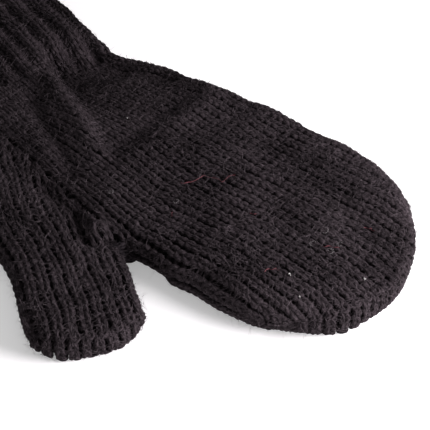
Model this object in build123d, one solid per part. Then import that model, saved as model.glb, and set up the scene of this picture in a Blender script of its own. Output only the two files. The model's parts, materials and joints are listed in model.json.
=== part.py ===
from build123d import *
import math
import os

# Left-hand convertible (flip-top) mitten, hand knitted in thick wool, lying palm down.
# Millimetres.  Z = 0 is the plane the palm rests on, +Y runs along the hand to the
# fingertips, +X is the thumb side.  The origin is on the palm face, at the wrist.

# ---- driving dimensions: hand -------------------------------------------------------
hand_width = 101.0          # across the knuckles, where the cap folds
edge_swell = 1.5            # the little-finger edge swells this far beyond that
crotch_inset = 1.0          # the thumb leaves the hand this far inside its thumb edge
hand_length = 173.0         # origin to the tip of the cap
hand_thickness = 17.0       # both layers and the room between them
knit_wall = 3.0             # thickness of the stockinette fabric
crotch_y = 78.5             # where the thumb leaves the hand

# ---- driving dimensions: cuff -------------------------------------------------------
cuff_width = 74.0
cuff_length = 75.0
cuff_thickness = 15.0
cuff_lean = 20.0            # degrees, the cuff leans to the little-finger side
cuff_flare = 4.0            # extra width at the cast-on edge
cast_on_depth = 5.0         # length of the cast-on edge, along the cuff
wrist_x = -14.3             # middle of the last rib course
wrist_y = -20.5

# ---- driving dimensions: thumb ------------------------------------------------------
thumb_width = 43.0
thumb_length = 42.0         # crotch to the blunt end
thumb_thickness = 14.0
thumb_lean = 36.0           # degrees from the hand axis
thumb_round = 19.5          # length over which the end narrows
thumb_tip_depth = 7.0       # length of the drawn-up closing stitches
gusset_root_width = 38.0    # width of the gusset pouch at the wrist
gusset_low_width = 46.0     # and a third and two thirds of the way to the thumb
gusset_high_width = 49.0
gusset_bulge = 5.0          # its outer edge swings this far out of a straight line
join_length = 12.0          # picked-up stitches that close the crotch
join_width = 3.6

# ---- driving dimensions: cap, opening and fold --------------------------------------
hinge_y = 100.0             # course about which the cap folds back
hinge_lift = 0.8            # the fold axis lies this far above the fabric
course_height = 3.6         # one course of stitches, the last one before the fold
hem_overlap = 24.5          # the cap's hem reaches this far back under the palm
hem_depth = 20.0            # length of the ribbed hem band
hem_side_margin = 8.0       # the hem stops this far inside each edge of the cap
hem_corner = 5.0            # its free corners are rounded
rim_wall = 2.5              # ribbed band round the finger opening
rim_length = 12.0           # length of that band behind the fold course
rim_reach = 9.0             # its back edge reaches this far ahead of the fold course
cap_shift = 6.5             # the tip lies this far to the thumb side
cap_shift_power = 1.5       # and swings there along this power of the length
cap_round = 58.0            # length over which the cap narrows to its tip
cap_tip_thickness = 12.0
cap_tip_depth = 7.0         # length of the closing stitches
cap_narrow_power = 2.1      # superellipse exponents of the cap's plan
cap_width_power = 2.0

# ---- clearances ---------------------------------------------------------------------
fold_gap = 0.3              # between the two bodies at the fold course
layer_gap = 0.5             # between a layer of the cap and the layer inside it
step_length = 4.0           # the palm rises over the hem within this length

axis_z = hand_thickness + hinge_lift
hand_edge_x = -hand_width / 2 - edge_swell
crotch_x = hand_width / 2 - crotch_inset
FAR = 400.0                 # larger than the mitten


# ---- helpers ------------------------------------------------------------------------
def heading(lean):
    """Unit vector that runs to the fingertips, leaning to the thumb side."""
    return Vector(math.sin(math.radians(lean)), math.cos(math.radians(lean)), 0)


def sideways(lean):
    """Unit vector across that heading, to the thumb side."""
    return Vector(math.cos(math.radians(lean)), -math.sin(math.radians(lean)), 0)


def section(centre, lean, width, z_low, z_high):
    """Upright slot-shaped face: flat above and below, round at both sides."""
    place = Plane(origin=centre, x_dir=sideways(lean), z_dir=-heading(lean))
    height = z_high - z_low
    slot = SlotOverall(max(width, height + 0.5), height)
    return place * Pos(0, (z_low + z_high) / 2) * slot


def tube(stations, inset=0.0):
    """Ruled loft through (centre, lean, width, z_low, z_high), drawn in by inset."""
    faces = []
    for centre, lean, width, z_low, z_high in stations:
        faces.append(section(centre, lean, width - 2 * inset, z_low + inset, z_high - inset))
    return loft(faces, ruled=True)


def prism(points, z_low=-FAR, z_high=FAR):
    """Upright prism on a polygon of (x, y) points."""
    corners = [Vector(p) for p in points]
    outline = Polyline(*[(c.X, c.Y) for c in corners], close=True)
    return Pos(0, 0, z_low) * extrude(make_face(outline), z_high - z_low, dir=(0, 0, 1))


def band(y_low, y_high, x_low=-FAR, x_high=FAR, z_low=-FAR, z_high=FAR):
    """Box between two courses of the hand."""
    return prism([(x_low, y_low), (x_high, y_low), (x_high, y_high), (x_low, y_high)], z_low, z_high)


def keep_solids(shape, least=5.0):
    """The solids of a shape, without slivers under a few cubic millimetres."""
    solids = [s for s in shape.solids() if s.volume > least]
    return Compound(children=solids) if len(solids) > 1 else solids[0]


# ---- cuff ---------------------------------------------------------------------------
wrist = Vector(wrist_x, wrist_y, 0)
cuff_foot = wrist - heading(cuff_lean) * cuff_length


def cuff_tube(inset=0.0, reach=0.0):
    start = cuff_foot - heading(cuff_lean) * reach
    stations = [
        (start, cuff_lean, cuff_width + cuff_flare, 0, cuff_thickness),
        (wrist, cuff_lean, cuff_width, 0, cuff_thickness),
    ]
    return tube(stations, inset)


def make_cuff():
    shell = cuff_tube() - cuff_tube(knit_wall, 1.0)
    side = sideways(cuff_lean)
    low = cuff_foot - heading(cuff_lean) * FAR
    high = cuff_foot + heading(cuff_lean) * cast_on_depth
    cutter = prism([low - side * FAR, low + side * FAR, high + side * FAR, high - side * FAR])
    return shell - cutter, shell & cutter


# ---- hand ---------------------------------------------------------------------------
underlap_z = knit_wall + layer_gap
step_y = hinge_y - hem_overlap - layer_gap


def palm_side(y):
    """Where the hand's own tube ends on the thumb side, at a course."""
    near_wrist = wrist + sideways(cuff_lean) * (cuff_width / 2)
    share = (y - near_wrist.Y) / (crotch_y - near_wrist.Y)
    return near_wrist.X + share * (crotch_x - near_wrist.X)


def hand_station(y, z_low):
    front = cap_plan(hinge_y)[0] / 2
    ahead = max(0.0, (y - step_y) / (hinge_y - step_y))
    x_low = hand_edge_x + (-front - hand_edge_x) * ahead
    x_high = palm_side(y) if y < crotch_y else front
    return (Vector((x_low + x_high) / 2, y, 0), 0, x_high - x_low, z_low, hand_thickness)


def hand_stations():
    first = (wrist, cuff_lean, cuff_width, 0, cuff_thickness)
    return [
        first,
        hand_station(step_y / 3, 0),
        hand_station(step_y - step_length, 0),
        hand_station(step_y, underlap_z),
        hand_station(crotch_y + layer_gap, underlap_z),
        hand_station(hinge_y, underlap_z),
    ]


# ---- thumb and gusset ---------------------------------------------------------------
crotch = Vector(crotch_x, crotch_y, 0)
thumb_middle = crotch + sideways(thumb_lean) * (thumb_width / 2 + layer_gap)
gusset_root = wrist + sideways(cuff_lean) * (cuff_width - gusset_root_width) / 2


def gusset_station(share, width):
    """Pouch section on the way from the wrist to the thumb, set by its outer edge."""
    foot = gusset_root + sideways(cuff_lean) * gusset_root_width / 2
    head = thumb_middle + sideways(thumb_lean) * thumb_width / 2
    lean = cuff_lean + (thumb_lean - cuff_lean) * share
    edge = foot + (head - foot) * share + sideways(lean) * gusset_bulge * 4 * share * (1 - share)
    top = cuff_thickness + (thumb_thickness - cuff_thickness) * share
    return (edge - sideways(lean) * width / 2, lean, width, 0, top)


def thumb_stations(shorten=0.0):
    stations = [
        gusset_station(0.0, gusset_root_width),
        gusset_station(0.35, gusset_low_width),
        gusset_station(0.7, gusset_high_width),
        gusset_station(1.0, thumb_width),
    ]
    straight = thumb_length - thumb_round
    steps = 6
    for k in range(steps):
        share = math.sin(math.radians(80.0 * k / (steps - 1)))
        along = straight + (thumb_round - shorten) * share
        width = thumb_width * math.sqrt(1 - share ** 2)
        height = thumb_thickness * (1 - 0.3 * share ** 3)
        stations.append((thumb_middle + heading(thumb_lean) * along, thumb_lean, width, 0, height))
    return stations


# ---- cap ----------------------------------------------------------------------------
def cap_plan(y, end_y=hand_length):
    """Width of the cap at a course, and the share of its rounding passed there."""
    start = end_y - cap_round
    share = max(0.0, (y - start) / cap_round)
    return hand_width * (1 - share ** cap_narrow_power) ** (1 / cap_width_power), share


def cap_station(y, end_y):
    width, share = cap_plan(y, end_y)
    shift = cap_shift * (max(0.0, y - hinge_y) / (end_y - hinge_y)) ** cap_shift_power
    top = hand_thickness - (hand_thickness - cap_tip_thickness) * share ** 3
    return (Vector(shift, y, 0), 0, width, 0, top)


def cap_stations(start_y, end_y):
    levels = [start_y]
    steps = 8
    for k in range(steps):
        y = end_y - cap_round + cap_round * math.sin(math.radians(80.0 * k / (steps - 1)))
        if y > start_y:
            levels.append(y)
    return [cap_station(y, end_y) for y in levels]


def make_cap():
    """Closed pouch ahead of the fold course, and the hem that runs back under the palm."""
    start = hinge_y + fold_gap
    outer = tube(cap_stations(start, hand_length))
    inner = tube(cap_stations(start - 1.0, hand_length - knit_wall), knit_wall)
    pouch = outer - inner
    middle_z = hand_thickness / 2
    tip = band(hand_length - cap_tip_depth, FAR)
    body = pouch - tip
    upper = band(-FAR, FAR, z_low=middle_z)
    back = body & upper
    palm = body - upper
    hem_start = hinge_y - hem_overlap
    hem_half = cap_plan(hinge_y)[0] / 2 - hem_side_margin
    hem_zone = band(hem_start, hem_start + hem_depth, -hem_half, hem_half, 0, knit_wall)
    corners = hem_zone.edges().filter_by(Axis.Z).group_by(Axis.Y)[0]
    hem_zone = fillet(corners, hem_corner)
    tongue = band(hem_start + hem_depth, start, -hem_half, hem_half, 0, knit_wall)
    return back, keep_solids(palm + tongue), hem_zone, pouch & tip


# ---- finger opening -----------------------------------------------------------------
def opening_width():
    """The room inside the cap at the front of the finger band, less the clearance."""
    return cap_plan(hinge_y + rim_reach)[0] - 2 * (knit_wall + layer_gap)


def sweep_room():
    """What the turning cap never enters: its inner palm profile, turned about the fold axis."""
    centre_z = hand_thickness / 2
    round_r = hand_thickness / 2 - knit_wall - fold_gap
    half = opening_width() / 2 + layer_gap - (round_r + fold_gap)
    deep = centre_z - round_r
    lower = Polyline((-half - round_r, axis_z), (-half - round_r, centre_z))
    lower += CenterArc((-half, centre_z), round_r, 180, 90)
    lower += Line((-half, deep), (half, deep))
    lower += CenterArc((half, centre_z), round_r, 270, 90)
    lower += Polyline((half + round_r, centre_z), (half + round_r, axis_z), (-half - round_r, axis_z))
    profile = Plane.XZ.offset(-hinge_y) * make_face(lower)
    return revolve(profile, Axis((0, hinge_y, axis_z), (1, 0, 0)), 360)


def make_rim():
    """Ribbed band round the finger opening, cut to the room that the turning cap leaves."""
    z_high = hand_thickness - knit_wall - layer_gap
    behind, ahead = hinge_y - rim_length, hinge_y + rim_reach

    def ends(reach):
        rows = (behind - reach, ahead + reach)
        return [(Vector(0, y, 0), 0, opening_width(), underlap_z, z_high) for y in rows]

    ring = tube(ends(0.0)) - tube(ends(1.0), rim_wall)
    return ring & sweep_room()


# ---- hand, gusset and thumb from one pair of outer and inner forms ------------------
def make_hand():
    outer = tube(hand_stations()) + tube(thumb_stations())
    inner = tube(hand_stations(), knit_wall) + tube(thumb_stations(knit_wall), knit_wall)
    front = cap_plan(hinge_y)[0] / 2
    shell = outer - inner - band(hinge_y - fold_gap, FAR, -front - 1, front + 1)

    along, across = heading(thumb_lean), sideways(thumb_lean)
    thumb_zone = prism([
        crotch,
        crotch + across * FAR,
        crotch + across * FAR + along * FAR,
        crotch + along * FAR,
    ])
    tip_line = crotch + along * (thumb_length - thumb_tip_depth)
    tip_zone = prism([
        tip_line,
        tip_line + across * FAR,
        tip_line + across * FAR + along * FAR,
        tip_line + along * FAR,
    ])
    gusset_line = wrist + sideways(cuff_lean) * (cuff_width / 2 - 12.0)
    past = gusset_line - heading(cuff_lean) * 20.0
    gusset_zone = prism([
        gusset_line,
        crotch,
        crotch + across * FAR,
        past + sideways(cuff_lean) * FAR,
        past,
    ])
    join_start = crotch - across * 2.0 - along * join_width
    join_zone = prism([
        join_start,
        join_start + across * join_length,
        join_start + across * join_length + along * join_width,
        join_start + along * join_width,
    ], z_low=thumb_thickness / 2)

    join = shell & join_zone
    rest = shell - join_zone
    thumb = rest & thumb_zone
    thumb_tip = thumb & tip_zone
    thumb = thumb - tip_zone
    rest = rest - thumb_zone
    gusset = rest & gusset_zone
    hand = rest - gusset_zone

    fold_zone = band(hinge_y - fold_gap - course_height, hinge_y, z_low=hand_thickness / 2)
    fold_course = hand & fold_zone
    hand = hand - fold_zone
    upper = band(-FAR, FAR, z_low=hand_thickness / 2)
    back = hand & upper
    palm = hand - upper
    # the ribbed band takes the palm's place next to the opening
    palm -= band(hinge_y - rim_length, FAR, -opening_width() / 2, opening_width() / 2)
    return back, palm, gusset, thumb, thumb_tip, join, fold_course


def main():
    os.makedirs("parts", exist_ok=True)
    cuff, cast_on = make_cuff()
    back, palm, gusset, thumb, thumb_tip, join, fold_course = make_hand()
    cap_back, cap_palm, cap_hem, cap_tip = make_cap()
    nodes = {
        "cuff_rib": cuff,
        "cast_on_edge": cast_on,
        "hand_back": back,
        "hand_palm": palm,
        "thumb_gusset": gusset,
        "thumb_tube": thumb,
        "thumb_tip_closure": thumb_tip,
        "thumb_join_stitches": join,
        "fold_course": fold_course,
        "finger_opening_rib": make_rim(),
        "cap_back": cap_back,
        "cap_palm": cap_palm,
        "cap_hem_rib": cap_hem,
        "cap_tip_closure": cap_tip,
    }
    for name, shape in nodes.items():
        solid = keep_solids(shape)
        solid.label = name
        export_step(solid, f"parts/{name}.step")
        print(name, [round(piece.volume) for piece in solid.solids()])


main()
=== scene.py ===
import json
import math

import bpy
import numpy as np
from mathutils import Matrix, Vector


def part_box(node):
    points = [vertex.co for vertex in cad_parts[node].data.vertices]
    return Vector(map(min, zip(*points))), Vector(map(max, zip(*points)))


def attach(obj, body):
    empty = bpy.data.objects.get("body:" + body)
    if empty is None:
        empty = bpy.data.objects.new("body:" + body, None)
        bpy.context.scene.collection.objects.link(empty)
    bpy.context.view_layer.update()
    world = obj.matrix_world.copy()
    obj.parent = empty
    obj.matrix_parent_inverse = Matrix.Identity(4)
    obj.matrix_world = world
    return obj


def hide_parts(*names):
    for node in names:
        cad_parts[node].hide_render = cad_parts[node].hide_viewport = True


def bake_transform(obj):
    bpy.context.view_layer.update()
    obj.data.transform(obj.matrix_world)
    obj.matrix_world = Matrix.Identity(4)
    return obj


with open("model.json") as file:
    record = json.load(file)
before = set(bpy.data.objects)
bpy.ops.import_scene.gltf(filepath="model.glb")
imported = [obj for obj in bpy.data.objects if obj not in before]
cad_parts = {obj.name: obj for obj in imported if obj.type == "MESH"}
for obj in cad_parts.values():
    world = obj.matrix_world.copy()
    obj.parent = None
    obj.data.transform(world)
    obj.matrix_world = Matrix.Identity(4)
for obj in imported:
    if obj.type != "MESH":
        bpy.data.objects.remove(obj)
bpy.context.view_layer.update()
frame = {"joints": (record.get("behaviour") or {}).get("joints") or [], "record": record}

# The mitten is built from its yarn: every course is one strand of loops that lies on the
# middle surface of the fabric.  Lengths are millimetres until a mesh is made (MM).
# +Z is up, +Y runs to the fingertips, +X is the thumb side, the origin is at the wrist.
MM = 0.001


def box_mm(node):
    low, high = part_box(node)
    return np.array(low) / MM, np.array(high) / MM


# ---- sizes read from the frame ----
hinge = frame["joints"][0]
hinge_y = hinge["pos_m"][1] / MM
hand_top = box_mm("hand_back")[1][2]
cuff_top = box_mm("cuff_rib")[1][2]
thumb_top = box_mm("thumb_tube")[1][2]
hem_low, hem_high = box_mm("cap_hem_rib")
band_low, band_high = box_mm("finger_opening_rib")

# ---- sizes of the CAD model that its boxes don't give ----
hand_width = 101.0
edge_swell = 1.5
crotch_inset = 1.0
hand_length = 173.0
underlap = 3.5              # the palm lies this high over the cap's hem
step_y = 75.0               # and has risen to that here, over step_length
step_length = 4.0
wrist = np.array([-14.3, -20.5])
cuff_width = 74.0
cuff_length = 75.0
cuff_lean = 20.0
cuff_flare = 4.0
cast_on_depth = 5.0
crotch = np.array([hand_width / 2 - crotch_inset, 78.5])
thumb_width = 43.0
thumb_length = 42.0
thumb_lean = 36.0
thumb_round = 19.5
thumb_gap = 0.5
gusset_bulge = 5.0
cap_shift = 6.5
cap_shift_power = 1.5
cap_round = 58.0
cap_tip_top = 12.0
cap_narrow_power = 2.1
tip_start = hand_length - 7.0
fold_start = hinge_y - 4.4  # courses over the fold
fold_end = hinge_y + 6.4
turn_start = hinge_y - 1.0  # the part of them that bends
turn_end = hinge_y + 5.0

# ---- sizes of the knitting ----
inset = 1.7                 # from the outside of the fabric to its middle surface
layer_gap = 2.6             # between the middle surfaces of two layers that touch
wale = 4.95                 # width of one stitch
course = 3.6                # height of one stitch
yarn_radius = 1.1
loop_bow = 0.17             # how far a loop's legs lean, in stitches
loop_height = 0.84          # half height of a loop, in courses
loop_depth = 0.6            # how far legs stand in front of heads
wale_crown = 0.8            # how far a wale's middle stands in front of its sides
wale_squeeze = 0.09         # a stitch's legs lie closer than half a stitch, in stitches
loop_stray = 0.03           # unevenness sideways, in stitches
height_stray = 0.05         # unevenness of a loop's height, as a share of it
lift_stray = 0.07           # unevenness in front of the surface
thickness_stray = 0.055     # unevenness of the yarn, as a share of its radius
floor_gap = 0.15            # room under the lowest yarn for its thick places
rib_repeat = 4              # two knit and two purl stitches
rib_depth = 1.45            # how far knit ribs stand out and purl ribs lie back
hand_wales = 21
lower_courses = 27          # wrist to crotch
fine_sides = 6              # sides of a rib's yarn
fine_steps = 12             # points in a rib's loop
palm_strip = 8.0            # the palm beside the finger opening is this wide
cuff_repeats = 8
hem_repeats = 9
band_repeats = 10
edge_twist = 4              # twists of an edge's two strands in a rib repeat

rng = np.random.default_rng(20)


# ---- vectors ----
def heading(lean):
    """Unit vector in plan that runs to the fingertips, leaning to the thumb side."""
    angle = np.radians(lean)
    return np.stack([np.sin(angle), np.cos(angle)], -1)


def sideways(lean):
    angle = np.radians(lean)
    return np.stack([np.cos(angle), -np.sin(angle)], -1)


def unit(vectors):
    return vectors / np.maximum(np.linalg.norm(vectors, axis=-1, keepdims=True), 1e-9)


def smooth(low, high, value):
    share = np.clip((value - low) / (high - low), 0, 1)
    return share * share * (3 - 2 * share)


# ---- how the fabric lies: hollows, creases and ridges of the upper layer ----
def near_line(x, y, start, end, reach):
    """1 on the line from start to end, falling off over reach."""
    start, end = np.array(start, float), np.array(end, float)
    run = end - start
    share = ((x - start[0]) * run[0] + (y - start[1]) * run[1]) / (run @ run)
    share = np.clip(share, 0, 1)
    gap = np.hypot(x - start[0] - share * run[0], y - start[1] - share * run[1])
    return np.exp(-(gap / reach) ** 2)


def in_oval(x, y, middle, reach):
    return np.exp(-((x - middle[0]) / reach[0]) ** 2 - ((y - middle[1]) / reach[1]) ** 2)


def hollow(x, y):
    """0 to 1: the upper layer has sunk between the wrist, the ridge and the crease."""
    ahead = (np.stack([x, y], -1) - wrist) @ heading(cuff_lean)
    past_ridge = (x + 10) * 0.854 - (y + 6) * 0.52
    gentle = np.clip((53 - y) / 45, 0, 1)
    steep = smooth(16, -11, y + 0.5 * (x + 34))
    sides = (1 - smooth(-9, 3, past_ridge)) * (0.5 + 0.5 * smooth(-52, -42, x))
    return smooth(-20, 5, ahead) * (0.35 * gentle + 0.65 * steep) * sides


# creases, valleys and ridges: height, start and end in plan, and reach
folds = (
    (-1.0, (-36, 47), (4, 46), 3.6),      # crease ahead of the hollow
    (1.4, (-42, 57), (14, 54), 6.0),      # swell ahead of the crease
    (2.4, (-12, -10), (18, 42), 3.5),     # ridge from the wrist along the hollow
    (-2.8, (4, -8), (31, 38), 4.2),       # valley on the thumb side of the ridge
    (-2.4, (-44, 30), (-38, 8), 5.0),     # the hollow's arm along the far edge
    (-2.6, (44, 34), (48, 54), 4.0),      # valley that runs to the thumb
    (-3.2, (48, 54), (57, 66), 2.4),      # crease round the root of the thumb
    (-3.2, (57, 68), (50, 79), 2.4),      # and on to the crotch
    (1.3, (47, 62), (51, 70), 3.0),       # the picked-up stitches stand proud
)
hollow_depth = 12.5


def upper_relief(x, y):
    """How far the upper layer lies above or below its plain height."""
    rise = -hollow_depth * hollow(x, y)
    for height, start, end, reach in folds:
        rise += height * near_line(x, y, start, end, reach)
    rise += 1.2 * in_oval(x, y, (24, 118), (22, 30))
    rise += -1.4 * near_line(x, y, (-30, 92), (-8, 150), 7.0)
    rise += 0.5 * np.sin(x / 9.0 + y / 31.0) + 0.35 * np.sin(y / 12.0 - x / 23.0)
    return rise


def wander(points, side_weight):
    """Small uneven drift of hand-made fabric, in plan."""
    x, y = points[..., 0], points[..., 1]
    drift = np.zeros_like(points)
    drift[..., 0] = 0.35 * np.sin(y / 5.1 + 0.7) + 0.25 * np.sin(y / 2.9 + x / 11.0)
    drift[..., 1] = 0.35 * np.sin(x / 6.3 + 1.9) + 0.25 * np.sin(x / 3.7 - y / 13.0)
    drift[..., 2] = side_weight * upper_relief(x, y)
    moved = points + drift
    # the upper layer rests on the lower one where it sinks that far
    rest = np.minimum(points[..., 2], inset + layer_gap)
    moved[..., 2] = np.maximum(moved[..., 2], rest)
    return moved


# ---- slot-shaped sections ----
def slot_reach(half_width, radius):
    """Length round a slot from its top centre to its side."""
    return half_width - radius + math.pi * radius / 2


def on_slot(arc, half_width, radius):
    """Offset across, and height over the middle, of a point so far round from the top centre."""
    flat = np.maximum(half_width - radius, 0.0)
    turn = np.clip((np.abs(arc) - flat) / radius, 0, math.pi / 2)
    across = np.minimum(np.abs(arc), flat) + radius * np.sin(turn)
    return np.sign(arc) * across, radius * np.cos(turn)


def edge_in_plan(arc, radius):
    """Distance in plan from the side of a slot, so far round from it."""
    turn = np.clip(arc / radius, 0, math.pi / 2)
    return radius * (1 - np.cos(turn)) + np.maximum(arc - math.pi * radius / 2, 0)


def pouch(station, lag):
    """Surface of a closed flat tube.  station(along) gives its middle x, middle y, lean,
    half width, low z and high z.  A course lies back by lag(along) at both its ends."""

    def reach(along):
        parts = station(along - lag(along))
        return slot_reach(parts[3], (parts[5] - parts[4]) / 2)

    def surface(along, arc, side):
        share = np.clip(arc / reach(along), -1, 1)
        x, y, lean, half, low, high = station(along - lag(along) * share ** 2)
        radius = (high - low) / 2
        limit = slot_reach(half, radius)
        across, height = on_slot(np.clip(arc, -limit, limit), half, radius)
        plan = np.stack([x, y], -1) + sideways(lean) * across[..., None]
        z = (low + high) / 2 + side * height
        points = np.concatenate([plan, z[..., None]], -1)
        weight = np.clip(height / radius, 0, 1) ** 2 * (1 if side > 0 else 0)
        return wander(points, weight)

    return surface, reach


def no_lag(along):
    return np.zeros_like(along)


# ---- cuff ----
def cuff_station(along):
    """along runs from the cast-on edge to the wrist."""
    share = along / cuff_length
    middle = wrist - heading(cuff_lean) * (cuff_length - along)[..., None]
    half = (cuff_width + cuff_flare * (1 - share)) / 2 - inset
    level = np.full_like(along, inset)
    high = np.full_like(along, cuff_top - inset)
    lean = np.full_like(along, cuff_lean)
    return middle[..., 0], middle[..., 1], lean, half, level, high


cuff_surface, cuff_reach = pouch(cuff_station, no_lag)


# ---- hand and gusset below the crotch: one bent section, hinged at the kink ----
foot_far = wrist - sideways(cuff_lean) * (cuff_width / 2 - inset)
foot_near = wrist + sideways(cuff_lean) * (cuff_width / 2 - inset)
kink_end = crotch + np.array([0.3, -0.4])
thumb_middle = crotch + sideways(thumb_lean) * (thumb_width / 2 + thumb_gap)
thumb_edge = thumb_middle + sideways(thumb_lean) * (thumb_width / 2 - inset)


def far_edge(share):
    """The little-finger edge; share runs from the wrist to the crotch."""
    y = foot_far[1] + (crotch[1] - foot_far[1]) * share
    x_end = -hand_width / 2 - edge_swell + inset
    x = x_end + (foot_far[0] - x_end) * np.clip(1 - share / 0.4, 0, 1) ** 1.5
    return np.stack([x, y], -1)


def kink(share):
    return foot_near + (kink_end - foot_near) * share[..., None]


def near_edge(share):
    lean = cuff_lean + (thumb_lean - cuff_lean) * share
    swing = gusset_bulge * 4 * share * (1 - share)
    straight = foot_near + (thumb_edge - foot_near) * share[..., None]
    return straight + sideways(lean) * swing[..., None]


def bent_section(share, offset, side):
    """Point so far in plan from the kink: behind 0 on the hand, past 0 on the gusset."""
    far, bend, near = far_edge(share), kink(share), near_edge(share)
    hand_run = np.linalg.norm(bend - far, axis=-1)
    gusset_run = np.linalg.norm(near - bend, axis=-1)
    way = np.where((offset < 0)[..., None], unit(far - bend), unit(near - bend))
    plan = bend + way * np.abs(offset)[..., None]
    gusset_share = smooth(-9, 7, offset)
    hand_high = cuff_top + (hand_top - cuff_top) * smooth(0, 0.5, share)
    gusset_high = cuff_top + (thumb_top - cuff_top) * share
    high = hand_high + (gusset_high - hand_high) * gusset_share - inset
    lift = underlap * smooth(step_y - step_length, step_y, plan[..., 1]) * (1 - gusset_share)
    low = inset + lift
    radius = (high - low) / 2
    far_gap = np.clip((hand_run + offset) / radius, 0, 1)
    near_gap = np.clip((gusset_run - offset) / radius, 0, 1)
    gap = np.minimum(far_gap, near_gap)
    height = np.sqrt(np.clip(1 - (1 - gap) ** 2, 0, 1))
    z = low + radius + side * radius * height
    points = np.concatenate([plan, z[..., None]], -1)
    return wander(points, height ** 2 * (1 if side > 0 else 0))


def lower_hand(share, part, side):
    """part runs from 0 at the little-finger edge to 1 at the kink."""
    run = np.linalg.norm(kink(share) - far_edge(share), axis=-1)
    radius = (hand_top - 2 * inset) / 2
    swing = 0.27 * share * (1 - share) ** 2 * np.sin(math.pi * np.clip(part, 0, 1))
    total = slot_reach(run, radius)
    plan_gap = edge_in_plan((part + swing) * total, radius)
    return bent_section(share, plan_gap - run, side)


def gusset_reach(share):
    """Length of fabric from the kink to the gusset's outer edge."""
    run = np.linalg.norm(near_edge(share) - kink(share), axis=-1)
    radius = (thumb_top - 2 * inset) / 2
    turned = radius * np.arccos(np.clip(1 - run / radius, -1, 1))
    return np.where(run < radius, turned, slot_reach(run, radius))


def gusset(share, arc, side):
    """arc is 0 at the outer edge and negative inside it."""
    run = np.linalg.norm(near_edge(share) - kink(share), axis=-1)
    radius = (thumb_top - 2 * inset) / 2
    return bent_section(share, run - edge_in_plan(np.clip(-arc, 0, None), radius), side)


# ---- hand above the crotch ----
def hand_station(y):
    low_x = -hand_width / 2 - edge_swell * (1 - smooth(step_y, hinge_y, y)) + inset
    high_x = np.full_like(y, hand_width / 2 - inset)
    low = inset + underlap * smooth(step_y - step_length, step_y, y)
    high = np.full_like(y, hand_top - inset)
    return (low_x + high_x) / 2, y, np.zeros_like(y), (high_x - low_x) / 2, low, high


upper_hand, upper_reach = pouch(hand_station, no_lag)


# ---- cap ----
cap_start = hand_length - cap_round
cap_end = hand_length - inset - 1.8


def cap_station(y):
    share = np.clip((y - cap_start) / (cap_round - inset), 0, 0.9985)
    half = hand_width * np.sqrt(1 - share ** cap_narrow_power) / 2 - inset * (1 - share)
    shift = cap_shift * (np.maximum(y - hinge_y, 0) / (hand_length - hinge_y)) ** cap_shift_power
    high = hand_top - (hand_top - cap_tip_top) * share ** 3 - inset
    low = np.full_like(y, inset)
    half = np.maximum(half, (high - low) / 2 + 0.2)
    return shift, y, np.zeros_like(y), half, low, high


def cap_lag(y):
    """How far the ends of a course lie behind its middle, more towards the tip."""
    return 21.0 * np.clip((y - cap_start + 14) / (cap_end - cap_start + 14), 0, 1) ** 1.6


cap_surface, cap_reach = pouch(cap_station, cap_lag)


# ---- thumb ----
def thumb_station(along):
    share = np.clip((along - thumb_length + thumb_round) / (thumb_round - 0.9), 0, 0.9985)
    half = thumb_width / 2 * np.sqrt(1 - share ** 2.6) - inset * (1 - share)
    middle = thumb_middle + heading(thumb_lean) * along[..., None]
    high = thumb_top * (1 - 0.25 * share ** 3) - inset
    low = np.full_like(along, inset)
    half = np.maximum(half, (high - low) / 2 + 0.2)
    lean = np.full_like(along, thumb_lean)
    return middle[..., 0], middle[..., 1], lean, half, low, high


thumb_end = thumb_length - inset - 1.6


def thumb_lag(along):
    return 9.0 * np.clip((along - 14) / (thumb_end - 14), 0, 1) ** 1.6


thumb_surface, thumb_reach = pouch(thumb_station, thumb_lag)


# ---- flat and inner bands ----
def hem_surface(y, x, side):
    z = np.full_like(y, inset) + 0.25 * np.sin(x / 7.0)
    return np.stack([x, y, z], -1)


def band_station(y):
    half = np.full_like(y, (band_high[0] - band_low[0]) / 2 - 1.4)
    low = np.full_like(y, band_low[2] + 1.3)
    high = np.full_like(y, band_high[2] - 1.3)
    return np.zeros_like(y), y, np.zeros_like(y), half, low, high


def plain_pouch(station):
    """A pouch without the drift and the relief of the outer layer."""

    def surface(along, arc, side):
        x, y, lean, half, low, high = station(along)
        across, height = on_slot(arc, half, (high - low) / 2)
        z = (low + high) / 2 + side * height
        return np.stack([x + across, y, z], -1)

    return surface


band_surface = plain_pouch(band_station)
band_parts = band_station(np.array(band_low[1]))
band_reach = float(slot_reach(band_parts[3], (band_parts[5] - band_parts[4]) / 2))


# ---- where stitches begin and end along a course ----
def even_edges(low, high, count):
    return np.linspace(low, high, count + 1)


def fitted_edges(low, high, anchor, pitch):
    """Stitch edges at anchor + k * pitch; the first and the last stitch take what is left."""
    first = math.ceil((low + pitch / 2 - anchor) / pitch)
    last = math.floor((high - pitch / 2 - anchor) / pitch)
    inner = anchor + pitch * np.arange(first, last + 1)
    return np.concatenate([[low], inner, [high]])


def rib_edges(low, high, repeats):
    """Ribbing: wide knit stitches and narrow purl stitches, two of each in a repeat."""
    widths = np.tile([1.2, 1.2, 0.8, 0.8], repeats)
    edges = np.concatenate([[0], np.cumsum(widths)])
    return low + (high - low) * edges / edges[-1]


# ---- strands ----
def slow_noise(count, steps, size):
    """Random values per stitch, run smoothly along the strand."""
    knots = rng.normal(0, size, count + 2)
    return np.interp(np.linspace(0, count + 1, count * steps + 1), np.arange(count + 2), knots)


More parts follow.
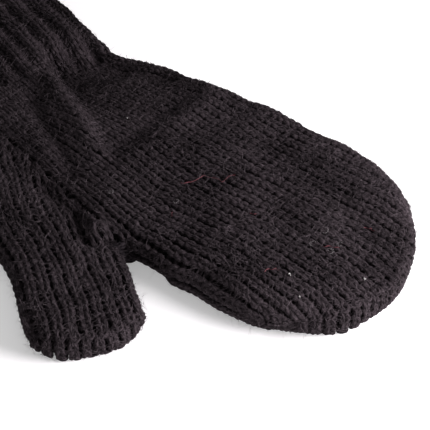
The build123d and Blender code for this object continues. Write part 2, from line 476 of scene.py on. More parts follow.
def loop_course(surface, at, edges, side, gap, ribbed=False, steps=18):
    """Centre line and outward normals of one course of loops.  gap is the distance to the
    next course in the surface's own measure, negative where there is none ahead."""
    count = len(edges) - 1
    run = np.linspace(0, count, count * steps + 1)
    index = np.minimum(run.astype(int), count - 1)
    within = run - index
    width = np.diff(edges)[index]
    bent = within + loop_bow * np.sin(4 * math.pi * within)
    bent = bent + wale_squeeze * np.sin(2 * math.pi * within)
    arc = edges[index] + width * bent
    arc = arc + loop_stray * width * slow_noise(count, steps, 1.0)
    at_all = np.full_like(arc, float(at))
    nudge = 0.01 * max(1.0, abs(edges[-1]))
    here = surface(at_all, arc, side)
    ahead = surface(at_all + gap, arc, side)
    up = (ahead - here) * np.sign(gap)
    along = surface(at_all, arc + nudge, side) - surface(at_all, arc - nudge, side)
    normal = unit(np.cross(along, up)) * side
    square = np.cross(normal * side, unit(along))
    square = square * np.sum(up * square, -1, keepdims=True)
    rise = 0.6 * up + 0.4 * square
    height = loop_height * (1 + slow_noise(count, steps, height_stray))
    swing = -np.cos(2 * math.pi * within) * height
    front = -np.cos(4 * math.pi * within)
    lift = loop_depth * front - wale_crown * np.cos(2 * math.pi * within)
    if ribbed:
        phase = np.cos(2 * math.pi * (run - 1) / rib_repeat)
        lift = loop_depth * front * np.clip(2.5 * phase, -1, 1) + rib_depth * phase - 0.3
    lift = lift + slow_noise(count, steps, lift_stray)
    points = here + rise * swing[:, None] + normal * lift[:, None]
    points[:, 2] = np.maximum(points[:, 2], yarn_radius + floor_gap)
    return points, normal


def strand_frame(points, normals):
    tangent = unit(np.gradient(points, axis=0))
    normal = unit(normals - tangent * np.sum(normals * tangent, -1, keepdims=True))
    return tangent, normal, np.cross(tangent, normal)


# ---- meshes ----
def add_object(name, data):
    thing = bpy.data.objects.new(name, data)
    bpy.context.scene.collection.objects.link(thing)
    return thing


def add_piece(name, verts, faces, material, smooth_shaded=True):
    """A mesh object from corners in millimetres."""
    mesh = bpy.data.meshes.new(name)
    mesh.from_pydata((verts * MM).tolist(), [], faces)
    if smooth_shaded:
        mesh.polygons.foreach_set("use_smooth", np.ones(len(mesh.polygons), bool))
    mesh.materials.append(material)
    return add_object(name, mesh)


def add_uv(piece, name, corners):
    layer = piece.data.uv_layers.new(name=name)
    layer.data.foreach_set("uv", corners.astype(np.float32).ravel())


def handspun(count, radius):
    """Uneven thickness along a strand."""
    steps = max(2, count // 9)
    knots = rng.normal(0, thickness_stray, steps + 1)
    return radius * (1 + np.interp(np.linspace(0, steps, count), np.arange(steps + 1), knots))


class Yarn:
    """The strands of one piece, made into one mesh at the end."""

    def __init__(self, name, sides=7, radius=yarn_radius):
        self.name, self.sides, self.radius = name, sides, radius
        self.strands = []

    def add(self, strand):
        self.strands.append(strand)

    def build(self, material):
        """Sweep every strand; UV "OFBake" has a strip for each, UV "yarn" its real length in cm."""
        sides = self.sides
        turn = np.arange(sides) * 2 * math.pi / sides
        verts, faces, bake, ply = [], [], [], []
        caps, cap_bake, cap_ply = [], [], []
        base = 0
        rows = len(self.strands)
        for row, (points, normals) in enumerate(self.strands):
            count = len(points)
            tangent, normal, across = strand_frame(points, normals)
            thick = handspun(count, self.radius)[:, None, None]
            ring = np.cos(turn)[None, :, None] * normal[:, None, :]
            ring = ring + np.sin(turn)[None, :, None] * across[:, None, :]
            verts.append((points[:, None, :] + thick * ring).reshape(-1, 3))
            i, k = np.meshgrid(np.arange(count - 1), np.arange(sides), indexing="ij")
            after = (k + 1) % sides
            quad = [i * sides + k, i * sides + after, (i + 1) * sides + after, (i + 1) * sides + k]
            faces.append(base + np.stack(quad, -1).reshape(-1, 4))
            length = np.concatenate([[0], np.cumsum(np.linalg.norm(np.diff(points, axis=0), axis=1))])
            u = np.stack([i, i, i + 1, i + 1], -1)
            v = np.stack([k, k + 1, k + 1, k], -1)
            bake.append(np.stack([
                0.97 * u / (count - 1),
                (row + 0.04 + 0.92 * v / sides) / rows,
            ], -1).reshape(-1, 2))
            ply.append(np.stack([length[u] / 10, v / sides], -1).reshape(-1, 2))
            for end, order in ((0, -1), (count - 1, 1)):
                corner = np.arange(sides)[::order]
                caps.append((base + end * sides + corner).tolist())
                spot = np.stack([np.cos(turn), np.sin(turn)], -1)[::order] * 0.2 / rows
                place = np.array([0.985, (row + (0.25 if end == 0 else 0.75)) / rows])
                cap_bake.append(place + spot * np.array([0.05 * rows if rows < 20 else 1, 1]))
                cap_ply.append(np.zeros((sides, 2)) + length[end] / 10)
            base += count * sides
        quads = np.concatenate(faces).tolist()
        piece = add_piece(self.name + "_yarn", np.concatenate(verts), quads + caps, material)
        add_uv(piece, "OFBake", np.concatenate(bake + cap_bake))
        add_uv(piece, "yarn", np.concatenate(ply + cap_ply))
        return piece


# ---- materials ----
def new_material(name, values):
    """A material whose shader has these values, its shader, and how to add and link nodes."""
    material = bpy.data.materials.new(name)
    material.use_nodes = True
    tree = material.node_tree
    shader = tree.nodes["Principled BSDF"]
    for socket, value in values.items():
        shader.inputs[socket].default_value = value

    def add(kind, sockets=None, **settings):
        """A socket is given a value, or the output that is linked to it."""
        node = tree.nodes.new(kind)
        for key, value in settings.items():
            setattr(node, key, value)
        for key, value in (sockets or {}).items():
            if isinstance(value, bpy.types.NodeSocket):
                tree.links.new(value, node.inputs[key])
            else:
                node.inputs[key].default_value = value
        return node

    return material, shader, add, tree.links.new


def add_ramp(add, factor, low, high):
    """Colour between two places on a scale; low and high are (place, colour)."""
    ramp = add("ShaderNodeValToRGB", {"Fac": factor})
    for element, (place, colour) in zip(ramp.color_ramp.elements, (low, high)):
        element.position = place
        element.color = (*colour, 1)
    return ramp.outputs["Color"]


def wool(name, colour):
    """Black wool: three plies twist along the strand, its dye is uneven with painted highlights
    streaked along the fibres, and it is matt.
    """
    plies = 3
    ply_twist = 17.0            # radians in a centimetre
    ply_height = 0.35
    darkest, lightest_dye_and_highlight = 0.05, 3.3
    material, shader, add, link = new_material(name, {
        "Roughness": 0.95,
        "Specular IOR Level": 0.03,
        "Sheen Weight": 0.02,
        "Sheen Roughness": 0.45,
        "Sheen Tint": (0.36, 0.29, 0.33, 1),
    })
    place = add("ShaderNodeUVMap", uv_map="yarn").outputs["UV"]
    split = add("ShaderNodeSeparateXYZ", {0: place})
    along = add("ShaderNodeMath", {0: split.outputs[0], 1: ply_twist}, operation="MULTIPLY")
    around = add("ShaderNodeMath", {
        0: split.outputs[1],
        1: plies * 2 * math.pi,
        2: along.outputs[0],
    }, operation="MULTIPLY_ADD")
    twist = add("ShaderNodeMath", {0: around.outputs[0]}, operation="SINE")
    spot = add("ShaderNodeTexCoord").outputs["Object"]
    dye = add("ShaderNodeTexNoise", {"Vector": spot, "Scale": 45.0, "Detail": 4.0})

    # fibres: noise drawn out along the yarn, another stretch of it on every strand; its light streaks
    # in the colour are painted highlights of the fibres' gloss
    drawn = add("ShaderNodeMapping", {"Vector": place, "Scale": (6.0, 11.0, 1.0)})
    strand = add("ShaderNodeMath", {0: dye.outputs["Fac"], 1: 60.0}, operation="MULTIPLY")
    shift = add("ShaderNodeCombineXYZ", {"Z": strand.outputs[0]})
    fibre_place = add("ShaderNodeVectorMath", {
        0: drawn.outputs[0],
        1: shift.outputs[0],
    }, operation="ADD")
    fibres = add("ShaderNodeTexNoise", {
        "Vector": fibre_place.outputs[0],
        "Scale": 1.0,
        "Detail": 5.0,
        "Roughness": 0.72,
    })
    mixed = add("ShaderNodeMix", data_type="FLOAT")
    mixed.inputs["Factor"].default_value = 0.25
    link(fibres.outputs["Fac"], mixed.inputs["A"])
    link(dye.outputs["Fac"], mixed.inputs["B"])
    # the colour runs from dark up to over three times the wool's colour: uneven dye, and painted fibre
    # highlights at the light end
    low = (0.40, [darkest * c for c in colour])
    high = (0.62, [lightest_dye_and_highlight * c for c in colour])
    link(add_ramp(add, mixed.outputs["Result"], low, high), shader.inputs["Base Color"])

    height = add("ShaderNodeMath", {
        0: twist.outputs[0],
        1: ply_height,
        2: fibres.outputs["Fac"],
    }, operation="MULTIPLY_ADD")
    bump = add("ShaderNodeBump", {
        "Height": height.outputs[0],
        "Strength": 1.0,
        "Distance": 0.0009,
    })
    link(bump.outputs["Normal"], shader.inputs["Normal"])
    return material


# purplish black, as the record's slots give it
slots = {m["slot"]: m["base_color"] for m in frame["record"]["materials"]}
rib_material = wool("rib wool", slots["rib_wool"][:3])
hand_material = wool("hand wool", slots["hand_wool"][:3])
join_material = wool("join wool", slots["join_wool"][:3])


# ---- finishing a piece ----
fuzz_sources = {"mitten": [], "cap": []}


def settle(piece, body, node=None):
    """Attach a piece to the body that it moves with (the fold's piece stays fixed in place) and hide
    the CAD node that it stands for.
    """
    if body == "fold":
        start, end = (0, turn_start * MM, 0), (0, turn_end * MM, 0)
        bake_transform(piece)
        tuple(start)
        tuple(end)
    else:
        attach(piece, body)
    if node:
        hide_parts(node)


def finish_yarn(yarn, body, material):
    piece = yarn.build(material)
    fuzz_sources[body].append(yarn)
    settle(piece, body, yarn.name)


# ---- the cuff's yarn ----
def rib_course(surface, at, edges, side, gap):
    return loop_course(surface, at, edges, side, gap, ribbed=True, steps=fine_steps)


def make_cuff():
    yarn = Yarn("cuff_rib", sides=fine_sides, radius=1.06)
    rows = int(round((cuff_length - cast_on_depth) / course))
    gap = (cuff_length - cast_on_depth) / rows
    for row in range(rows):
        along = cast_on_depth + (row + 0.5) * gap
        reach = float(cuff_reach(np.array(along)))
        for side in (1, -1):
            edges = rib_edges(-reach, reach, cuff_repeats)
            step = gap if row < rows - 1 else -gap
            yarn.add(rib_course(cuff_surface, along, edges, side, step))
    finish_yarn(yarn, "mitten", rib_material)


def add_twist(yarn, line, normal, across, turns, swing):
    """Two strands that twist about a line."""
    normal = np.broadcast_to(normal, line.shape)
    phase = np.linspace(0, 2 * math.pi * turns, len(line))[:, None]
    for start in (0.0, math.pi):
        around = normal * np.cos(phase + start) + across * np.sin(phase + start)
        points = line + swing * around
        points[:, 2] = np.maximum(points[:, 2], yarn.radius + floor_gap)
        yarn.add((points, normal))


def make_cast_on():
    """Two twisted rounds along the lower edge of the cuff."""
    yarn = Yarn("cast_on_edge", sides=7, radius=1.0)
    twists = edge_twist * cuff_repeats
    count = twists * fine_steps + 1
    for along, swing in ((1.4, 0.9), (3.4, 0.8)):
        reach = float(cuff_reach(np.array(along)))
        for side in (1, -1):
            arc = np.linspace(-reach, reach, count)
            at = np.full_like(arc, along)
            here = cuff_surface(at, arc, side)
            ahead = cuff_surface(at + 1.0, arc, side) - here
            across = cuff_surface(at, arc + 0.5, side) - cuff_surface(at, arc - 0.5, side)
            normal = unit(np.cross(across, ahead)) * side
            rib = np.cos(2 * math.pi * (arc - arc[0]) / (2 * reach) * cuff_repeats - math.pi / 2)
            here = here + normal * 0.7 * rib[:, None]
            add_twist(yarn, here, normal, unit(ahead), twists, swing)
    finish_yarn(yarn, "mitten", rib_material)


# ---- the yarn of the hand and the gusset ----
hand_total = float(slot_reach(
    np.linalg.norm(kink(np.array(1.0)) - far_edge(np.array(1.0))),
    (hand_top - 2 * inset) / 2,
))
hand_pitch = hand_total / hand_wales
hand_anchor = -float(upper_reach(np.array(crotch[1])))


def palm_strips(reach):
    return (-reach, -reach + palm_strip), (reach - palm_strip, reach)


def make_hand():
    back = Yarn("hand_back")
    palm = Yarn("hand_palm")
    gap = 1 / lower_courses
    for row in range(lower_courses):
        share = (row + 0.5) * gap
        for side, yarn in ((1, back), (-1, palm)):
            edges = even_edges(0, 1, hand_wales)
            yarn.add(loop_course(lower_hand, share, edges, side, gap))

    def beside_opening(y, reach, gap):
        for low, high in palm_strips(reach):
            edges = fitted_edges(low, high, hand_anchor, hand_pitch)
            palm.add(loop_course(upper_hand, y, edges, -1, gap))

    rows = int(round((fold_start - crotch[1]) / course))
    gap = (fold_start - crotch[1]) / rows
    for row in range(rows):
        y = crotch[1] + (row + 0.5) * gap
        reach = float(upper_reach(np.array(y)))
        edges = fitted_edges(-reach, reach, hand_anchor, hand_pitch)
        back.add(loop_course(upper_hand, y, edges, 1, gap))
        if y < band_low[1] + 1:
            palm.add(loop_course(upper_hand, y, edges, -1, gap))
        else:
            beside_opening(y, reach, gap)
    y = fold_start + course / 2
    beside_opening(y, float(upper_reach(np.array(y))), course)
    finish_yarn(back, "mitten", hand_material)
    finish_yarn(palm, "mitten", hand_material)


def make_gusset():
    yarn = Yarn("thumb_gusset")
    gap = 1 / lower_courses
    for row in range(lower_courses):
        share = (row + 0.5) * gap
        reach = float(gusset_reach(np.array(share)))
        if reach < wale / 2:
            continue
        edges = fitted_edges(-reach, 0, 0, wale)
        for side in (1, -1):
            yarn.add(loop_course(gusset, share, edges, side, gap))
    finish_yarn(yarn, "mitten", hand_material)


# ---- the thumb's yarn ----
def make_thumb():
    tube = Yarn("thumb_tube")
    tip = Yarn("thumb_tip_closure", radius=1.0)
    rows = int(round(thumb_end / course))
    gap = thumb_end / rows
    anchor = float(thumb_reach(np.array(0.0)))
    for row in range(rows):
        along = (row + 0.5) * gap
        reach = float(thumb_reach(np.array(along)))
        edges = fitted_edges(-reach, reach, anchor, wale)
        for side in (1, -1):
            yarn = tip if row >= rows - 2 else tube
            step = gap if row < rows - 1 else -gap
            yarn.add(loop_course(thumb_surface, along, edges, side, step))
    close_tip(tip, thumb_surface, thumb_end, float(thumb_reach(np.array(thumb_end))), 0.95, 4.4)
    finish_yarn(tube, "mitten", hand_material)
    finish_yarn(tip, "mitten", hand_material)


def close_tip(yarn, surface, end, reach, part, pitch):
    """Courses over the rounded edge at the tip, where the upper layer turns into the lower."""

    def edge(at, arc, side):
        level = np.full_like(arc, end)
        top, low = surface(level, arc, 1), surface(level, arc, -1)
        middle, half = (top + low) / 2, (top - low) / 2
        ahead = surface(level, arc + 0.3, 1) - surface(level, arc - 0.3, 1)
        out = unit(np.cross(unit(ahead * np.array([1, 1, 0])), np.array([0, 0, -1.0])))
        turn = np.radians(at)[..., None]
        return middle + half * np.cos(turn) + out * 1.7 * np.sin(turn)

    count = int(round(2 * reach * part / pitch))
    for angle in (45.0, 90.0, 135.0):
        edges = even_edges(-reach * part, reach * part, count)
        yarn.add(loop_course(edge, angle, edges, 1, 36.0))


bar_length = 12.0
web_reach = 8.5


def make_join():
    """Stitches picked up across the crotch: two short rows, and two that run down over it."""
    yarn = Yarn("thumb_join_stitches", radius=1.0)
    ahead, across = heading(thumb_lean), sideways(thumb_lean)
    for back_off in (9.0, 12.5):
        start = crotch - ahead * back_off - across * 2.0
        end = start + across * bar_length

        def bar(at, arc, side, start=start, end=end):
            plan = start + (end - start) * (arc / bar_length)[..., None]
            plan = plan + ahead * at[..., None]
            z = thumb_top - 2.0 + 0.5 * upper_relief(plan[..., 0], plan[..., 1])
            return np.concatenate([plan, z[..., None]], -1)

        yarn.add(loop_course(bar, 0.0, even_edges(0, bar_length, 3), 1, course))

    def web(at, arc, side):
        """Runs down over the crotch from the upper layer to the lower one."""
        turn = arc / web_reach * math.radians(80) + math.pi / 2
        out = (2.0 * np.sin(turn) - 0.9)[..., None] * ahead
        plan = crotch + out - across * at[..., None]
        z = (thumb_top + inset) / 2 + (thumb_top / 2 - inset - 0.6) * np.cos(turn)
        return np.concatenate([plan, z[..., None]], -1)

    for shift in (-1.8, 1.8):
        yarn.add(loop_course(web, shift, even_edges(-web_reach, web_reach, 4), 1, course))
    finish_yarn(yarn, "mitten", join_material)


# ---- the cap's yarn ----
def make_cap():
    back = Yarn("cap_back")
    palm = Yarn("cap_palm")
    tip = Yarn("cap_tip_closure", radius=1.0)
    rows = int(round((cap_end - fold_end) / course))
    gap = (cap_end - fold_end) / rows
    for row in range(rows):
        y = fold_end + (row + 0.5) * gap
        reach = float(cap_reach(np.array(y)))
        edges = fitted_edges(-reach, reach, hand_anchor, hand_pitch)
        last = y > tip_start
        step = gap if row < rows - 1 else -gap
        (tip if last else back).add(loop_course(cap_surface, y, edges, 1, step))
        (tip if last else palm).add(loop_course(cap_surface, y, edges, -1, step))
    # under the fold the palm side starts further back than the upper side
    tongue_rows = int(round((fold_end - hem_high[1]) / course))
    gap = (fold_end - hem_high[1]) / tongue_rows
    for row in range(tongue_rows):
        y = hem_high[1] + (row + 0.5) * gap
        half = float(cap_reach(np.array(y))) if y > hinge_y - 0.3 else hem_high[0]
        edges = fitted_edges(-half, half, hand_anchor, hand_pitch)
        palm.add(loop_course(cap_surface, y, edges, -1, gap))
    close_tip(tip, cap_surface, cap_end, float(cap_reach(np.array(cap_end))), 0.95, 4.6)
    finish_yarn(back, "cap", hand_material)
    finish_yarn(palm, "cap", hand_material)
    finish_yarn(tip, "cap", hand_material)


def make_fold():
    """Courses over the fold, between the hand and the cap; the piece stays fixed in place."""
    yarn = Yarn("fold_course")
    rows = int(round((fold_end - fold_start) / course))
    gap = (fold_end - fold_start) / rows
    for row in range(rows):
        y = fold_start + (row + 0.5) * gap
        reach = float(cap_reach(np.array(y)))
        edges = fitted_edges(-reach, reach, hand_anchor, hand_pitch)
        yarn.add(loop_course(cap_surface, y, edges, 1, gap))
    settle(yarn.build(hand_material), "fold", "fold_course")


def make_hem():
    yarn = Yarn("cap_hem_rib", sides=fine_sides, radius=1.0)
    rows = int(round((hem_high[1] - hem_low[1]) / course))
    gap = (hem_high[1] - hem_low[1]) / rows
    for row in range(rows):
        y = hem_low[1] + (row + 0.5) * gap
        half = hem_high[0] - (2.0 if row == 0 else 0.5)
        edges = rib_edges(-half, half, hem_repeats)
        yarn.add(rib_course(hem_surface, y, edges, -1, gap))
    twists = edge_twist * hem_repeats
    x = np.linspace(-hem_high[0] + 2.0, hem_high[0] - 2.0, twists * fine_steps + 1)
    edge = hem_surface(np.full_like(x, hem_low[1] + 0.9), x, -1)
    add_twist(yarn, edge, np.array([0, 0, -1.0]), np.array([0, 1.0, 0]), twists, 0.7)
    finish_yarn(yarn, "cap", rib_material)


def make_band():
    yarn = Yarn("finger_opening_rib", sides=fine_sides, radius=0.9)
    rows = int(round((band_high[1] - band_low[1]) / course))
    gap = (band_high[1] - band_low[1]) / rows
    for row in range(rows):
        y = band_low[1] + (row + 0.5) * gap
        for side in (1, -1):
            edges = rib_edges(-band_reach, band_reach, band_repeats)
            yarn.add(rib_course(band_surface, y, edges, side, gap))
    finish_yarn(yarn, "mitten", rib_material)


# ---- the inner face of the fabric, seen in the gaps between loops; darkened as painted shade ----
def inner_grid(surface, levels, spans, side, depth=1.1, thickness=0.5, columns=44):
    """Closed thin sheet behind one layer; spans gives the ends of each level."""
    arc = np.stack([np.linspace(low, high, columns) for low, high in spans])
    at = np.repeat(np.array(levels, float)[:, None], columns, axis=1)
    points = surface(at, arc, side)
    down = np.gradient(points, axis=0)
    along = np.gradient(points, axis=1)
    normal = unit(np.cross(along, down)) * side
    outer = points - normal * depth
    inner = points - normal * (depth + thickness)
    return outer, inner, side


def build_sheets(name, grids, material):
    """One mesh of several closed sheets."""
    verts, faces, base = [], [], 0
    for outer, inner, side in grids:
        n, m = outer.shape[:2]
        verts += [outer.reshape(-1, 3), inner.reshape(-1, 3)]
        i, k = np.meshgrid(np.arange(n - 1), np.arange(m - 1), indexing="ij")
        a, b, c, d = i * m + k, i * m + k + 1, (i + 1) * m + k + 1, (i + 1) * m + k
        front = np.stack([a, b, c, d], -1).reshape(-1, 4)
        rim = list(range(m)) + [r * m + m - 1 for r in range(1, n)]
        rim += [(n - 1) * m + c for c in range(m - 2, -1, -1)] + [r * m for r in range(n - 2, 0, -1)]
        rim = np.array(rim)
        after = np.roll(rim, -1)
        edge = np.stack([rim, rim + n * m, after + n * m, after], -1)
        whole = np.concatenate([front, front[:, ::-1] + n * m, edge])
        faces.append(base + (whole if side > 0 else whole[:, ::-1]))
        base += 2 * n * m
    return add_piece(name, np.concatenate(verts), np.concatenate(faces).tolist(), material)


def tube_sheet(surface, reach, ends, count, side, **sizes):
    """Sheet behind one layer of a tube, from side to side."""
    levels = np.linspace(*ends, count)
    half = reach(levels)
    return inner_grid(surface, levels, zip(-half, half), side, **sizes)


def even_reach(half):
    return lambda levels: np.full_like(levels, half)


# the inner face takes the hand wool's colour darkened to this share: painted shade in the gaps between
# loops
inner_gap_shade = 0.3


def make_inner_faces():
    material = wool("inner wool painted shade", [inner_gap_shade * c for c in slots["hand_wool"][:3]])
    mitten, cap = [], []
    for side in (1, -1):
        ends = (1.5, cuff_length + 0.5)
        mitten.append(tube_sheet(cuff_surface, cuff_reach, ends, 30, side, depth=1.3))
        levels = np.linspace(0.0, 1.0, 40)
        mitten.append(inner_grid(lower_hand, levels, [(0, 1)] * 40, side))
        levels = np.linspace(0.04, 1.0, 36)
        reach = gusset_reach(levels)
        mitten.append(inner_grid(gusset, levels, zip(-reach, 0 * reach), side))
        mitten.append(tube_sheet(thumb_surface, thumb_reach, (0.0, thumb_end), 30, side))
        ends = (crotch[1], fold_start if side > 0 else band_low[1])
        mitten.append(tube_sheet(upper_hand, upper_reach, ends, 10, side))
        ends = (fold_end if side > 0 else hinge_y + 1.0, cap_end)
        cap.append(tube_sheet(cap_surface, cap_reach, ends, 40, side))
        ends = (band_low[1] + 1, band_high[1] - 1)
        mitten.append(tube_sheet(band_surface, even_reach(band_reach), ends, 6, side, depth=1.0))
    levels = np.linspace(band_low[1], hinge_y - 1.0, 8)
    for low, high in palm_strips(upper_reach(levels)):
        mitten.append(inner_grid(upper_hand, levels, zip(low, high), -1, columns=8))
    hem_reach = even_reach(hem_high[0] - 1.5)
    cap.append(tube_sheet(hem_surface, hem_reach, (hem_low[1] + 1, hem_high[1]), 8, -1))
    cap.append(tube_sheet(cap_surface, hem_reach, (hem_high[1] - 0.5, hinge_y + 1.5), 6, -1))
    fold = [tube_sheet(cap_surface, cap_reach, (fold_start, fold_end), 8, 1)]
    settle(build_sheets("mitten_inner_face", mitten, material), "mitten")
    settle(build_sheets("cap_inner_face", cap, material), "cap")
    settle(build_sheets("fold_inner_face", fold, material), "fold")


# ---- fuzz: fine hairs that stand out of the yarn ----
hair_radius = 0.06


def hair_material():
    material, shader, add, link = new_material("wool hairs", {
        "Roughness": 0.8,
        "Specular IOR Level": 0.15,
    })
    spot = add("ShaderNodeTexCoord").outputs["Object"]
    noise = add("ShaderNodeTexNoise", {"Vector": spot, "Scale": 400.0})
    # the hairs' colour runs from the wool's black up to several times lighter: the lighter part is
    # painted sheen of the fuzz
    dark, light = (0.018, 0.014, 0.016), (0.115, 0.093, 0.104)
    colour = add_ramp(add, noise.outputs["Fac"], (0.38, dark), (0.66, light))
    link(colour, shader.inputs["Base Color"])
    return material


def hair_paths(yarns, count, nodes=4):
    """Hairs start on the strands, leave sideways and bend back over the fabric.  Most
    start where it faces up or sideways."""
    points, normals = (
        np.concatenate([strand[part] for yarn in yarns for strand in yarn.strands])
        for part in (0, 1)
    )
    seen = np.flatnonzero(normals[:, 2] > -0.3)
    upper = rng.random(count) < 0.75
    pick = np.where(upper, rng.choice(seen, count), rng.integers(0, len(points), count))
    start, normal = points[pick], normals[pick]
    wild = unit(rng.normal(0, 1, (count, 3)))
    out = unit(normal + 0.75 * wild)
    start = start + out * yarn_radius * 0.8
    bend = unit(rng.normal(0, 1, (count, 3)) - 0.5 * normal)
    length = np.clip(rng.lognormal(0.62, 0.5, count), 0.8, 5.5)[:, None]
    lie = unit(wild - normal * np.sum(wild * normal, -1, keepdims=True))
    leave = unit(0.55 * out + 0.8 * lie)
    steps = np.linspace(0, 1, nodes)
    paths = [start + length * (s * leave + 0.45 * s * s * bend) for s in steps]
    paths = np.stack(paths, 1)
    paths[..., 2] = np.maximum(paths[..., 2], 0.1)
    return paths


def build_hairs(name, paths, radius, material):
    """Each path becomes a thin closed three-sided tube."""
    count, nodes, _ = paths.shape
    tangent = unit(np.gradient(paths, axis=1))
    side = unit(np.cross(tangent, np.array([0.31, 0.52, 0.79])))
    other = np.cross(tangent, side)
    taper = np.linspace(1.0, 0.45, nodes)[None, :, None, None] * radius
    turn = np.arange(3) * 2 * math.pi / 3
    ring = np.cos(turn)[:, None] * side[:, :, None, :] + np.sin(turn)[:, None] * other[:, :, None, :]
    verts = (paths[:, :, None, :] + taper * ring).reshape(-1, 3)
    i, k = np.meshgrid(np.arange(nodes - 1), np.arange(3), indexing="ij")
    after = (k + 1) % 3
    quad = np.stack([i * 3 + k, i * 3 + after, (i + 1) * 3 + after, (i + 1) * 3 + k], -1)
    base = np.arange(count)[:, None, None] * nodes * 3
    quads = (base + quad.reshape(1, -1, 4)).reshape(-1, 4)
    ends = np.array([[2, 1, 0], np.arange(3) + (nodes - 1) * 3])
    ends = (base + ends[None]).reshape(-1, 3)
    piece = add_piece(name, verts, quads.tolist() + ends.tolist(), material, smooth_shaded=False)
    # a cell of the bake map for every hair
    columns = int(math.ceil(math.sqrt(count)))
    cell = np.stack([np.arange(count) % columns, np.arange(count) // columns], -1) / columns
    u = np.stack([i, i, i + 1, i + 1], -1).reshape(-1) / (nodes - 1) * 0.8
    v = np.stack([k, k + 1, k + 1, k], -1).reshape(-1) / 3 * 0.9
    wall = np.stack([u, v], -1) / columns
    wall = (cell[:, None, :] + wall[None]).reshape(-1, 2)
    tri = np.array([[0.84, 0.05], [0.96, 0.05], [0.9, 0.3], [0.84, 0.55], [0.96, 0.55], [0.9, 0.8]])
    tri = (cell[:, None, :] + tri[None] / columns).reshape(-1, 2)
    add_uv(piece, "OFBake", np.concatenate([wall, tri]))
    return piece


def make_fuzz():
    material = hair_material()
    thumb_parts = ("thumb_gusset", "thumb_tube", "thumb_tip_closure")
    cap_parts = ("cap_back", "cap_palm", "cap_tip_closure")
    groups = (
        ("cuff_fuzz", "mitten", ("cuff_rib", "cast_on_edge"), 7500, "rib_wool"),
        ("hand_fuzz", "mitten", ("hand_back", "hand_palm"), 9600, "hand_wool"),
        ("thumb_fuzz", "mitten", thumb_parts, 8000, "thumb_wool"),
        ("cap_fuzz", "cap", cap_parts, 9600, "cap_wool"),
    )
    for name, body, members, count, slot_name in groups:
        yarns = [yarn for yarn in fuzz_sources[body] if yarn.name in members]
        piece = build_hairs(name, hair_paths(yarns, count), hair_radius, material)
        settle(piece, body)


# ---- lint: a few coloured fibres and specks that cling to the wool ----
def plain_material(name, colour):
    material, shader, add, link = new_material(name, {"Roughness": 0.8})
    noise = add("ShaderNodeTexNoise", {"Scale": 300.0})
    half_dark = [0.5 * c for c in colour]
    link(add_ramp(add, noise.outputs["Fac"], (0, half_dark), (1, colour)), shader.inputs["Base Color"])
    return material


def on_top(x, y, above):
    """A place over the upper layer."""
    return np.stack([x, y, hand_top + upper_relief(x, y) + above], -1)


def lint_fibre(route, nodes=24):
    """A fibre through a few points in plan, with a fine curl of its own."""
    route = np.array(route, float)
    share = np.linspace(0, len(route) - 1, nodes)
    x = np.interp(share, np.arange(len(route)), route[:, 0])
    y = np.interp(share, np.arange(len(route)), route[:, 1])
    curl = rng.uniform(0.2, 0.5)
    start = rng.uniform(0, 2 * math.pi)
    x = x + curl * np.sin(share * 7 + start)
    y = y + curl * np.cos(share * 5 + start)
    return on_top(x, y, 0.3 + 0.25 * np.sin(share * 6 + start))


def curled(x, y, size):
    """Route of a short curled fibre."""
    turn = np.linspace(0, rng.uniform(3.5, 5.5), 7) + rng.uniform(0, 6)
    return [(x + size * math.cos(t), y + 0.7 * size * math.sin(t)) for t in turn]


def speck(x, y):
    return [(x, y), (x + 0.35, y + 0.2)]


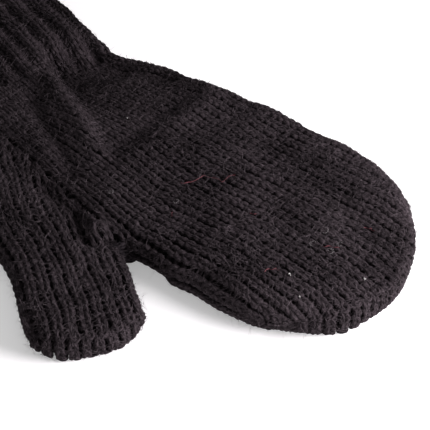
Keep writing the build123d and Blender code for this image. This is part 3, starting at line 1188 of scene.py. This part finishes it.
def make_lint():
    red = plain_material("red lint", (0.20, 0.045, 0.06))
    pale = plain_material("pale lint", (0.17, 0.155, 0.16))
    white = plain_material("white specks", (0.42, 0.41, 0.40))
    long_fibre = [(13.4, 78.8), (11.2, 82), (4.4, 84.4), (4, 92.3), (-2.4, 94.1)]
    groups = (
        ("hand_red_lint", "mitten", red, 0.10, [long_fibre, [(29, 86.5), (31, 88)]]),
        ("cap_red_lint", "cap", red, 0.10, [
            [(13, 111.5), (12, 114)],
            [(-7.2, 150), (-8, 152.5), (-6.8, 154)],
            [(12, 143), (10, 145.5), (9, 149)],
            [(36, 133), (33, 134.5), (32, 137)],
        ]),
        ("hand_pale_lint", "mitten", pale, 0.08, [curled(23, 84, 1.2), curled(33, 60, 1.0)]),
        ("cap_pale_lint", "cap", pale, 0.08, [
            curled(12.7, 139.3, 1.5),
            curled(3.8, 139.1, 1.7),
            curled(12.8, 146.6, 1.6),
            curled(7.0, 147.5, 1.3),
        ]),
        ("hand_specks", "mitten", white, 0.24, [speck(-8.7, 34.8)]),
        ("cap_specks", "cap", white, 0.24, [
            speck(38.2, 149.4),
            speck(31.5, 141.1),
            speck(18.0, 164.0),
        ]),
    )
    for name, body, material, radius, routes in groups:
        paths = np.stack([lint_fibre(route) for route in routes])
        piece = build_hairs(name, paths, radius, material)
        settle(piece, body)


# ---- make every piece ----
make_cuff()
make_cast_on()
make_hand()
make_gusset()
make_thumb()
make_join()
make_cap()
make_fold()
make_hem()
make_band()
make_inner_faces()
make_fuzz()
make_lint()


# ---- floor, light, camera ----
def make_floor():
    """Pale, and a little brighter than the light alone makes it, as on a lit table."""
    half = 3000.0
    corners = np.array([(-half, -half, 0), (half, -half, 0), (half, half, 0), (-half, half, 0)])
    material = new_material("pale floor", {
        "Base Color": (0.93, 0.925, 0.93, 1),
        "Roughness": 0.85,
        "Emission Color": (1, 1, 1, 1),
        "Emission Strength": 0.35,
    })[0]
    add_piece("floor", corners, [(0, 1, 2, 3)], material, smooth_shaded=False)


def add_area(name, place, target, size, power, colour):
    data = bpy.data.lights.new(name, "AREA")
    data.shape = "DISK"
    data.size = size
    data.energy = power
    data.color = colour
    lamp = add_object(name, data)
    aim = Vector(target) - Vector(place)
    lamp.location = place
    lamp.rotation_euler = aim.to_track_quat("-Z", "Y").to_euler()


def make_light():
    world = bpy.data.worlds.new("studio")
    bpy.context.scene.world = world
    world.use_nodes = True
    background = world.node_tree.nodes["Background"]
    background.inputs["Color"].default_value = (1.0, 0.99, 0.995, 1)
    background.inputs["Strength"].default_value = 0.30
    add_area("key", (-0.08, 0.50, 0.18), (0, 0.10, 0), 0.30, 5.3, (1, 0.955, 0.985))


def make_camera():
    """The camera looks down at 43 degrees from the thumb side, ahead of the fingertips."""
    azimuth, elevation = math.radians(125.0), math.radians(43.0)
    data = bpy.data.cameras.new("camera")
    data.sensor_width = 36.0
    data.lens = 92.1
    data.clip_start = 0.01
    camera = add_object("camera", data)
    camera.location = (0.27123, 0.27607, 0.30226)
    camera.rotation_euler = (math.pi / 2 - elevation, 0, azimuth)
    bpy.context.scene.camera = camera


make_floor()
make_light()
make_camera()
bpy.context.scene.view_settings.view_transform = "Standard"
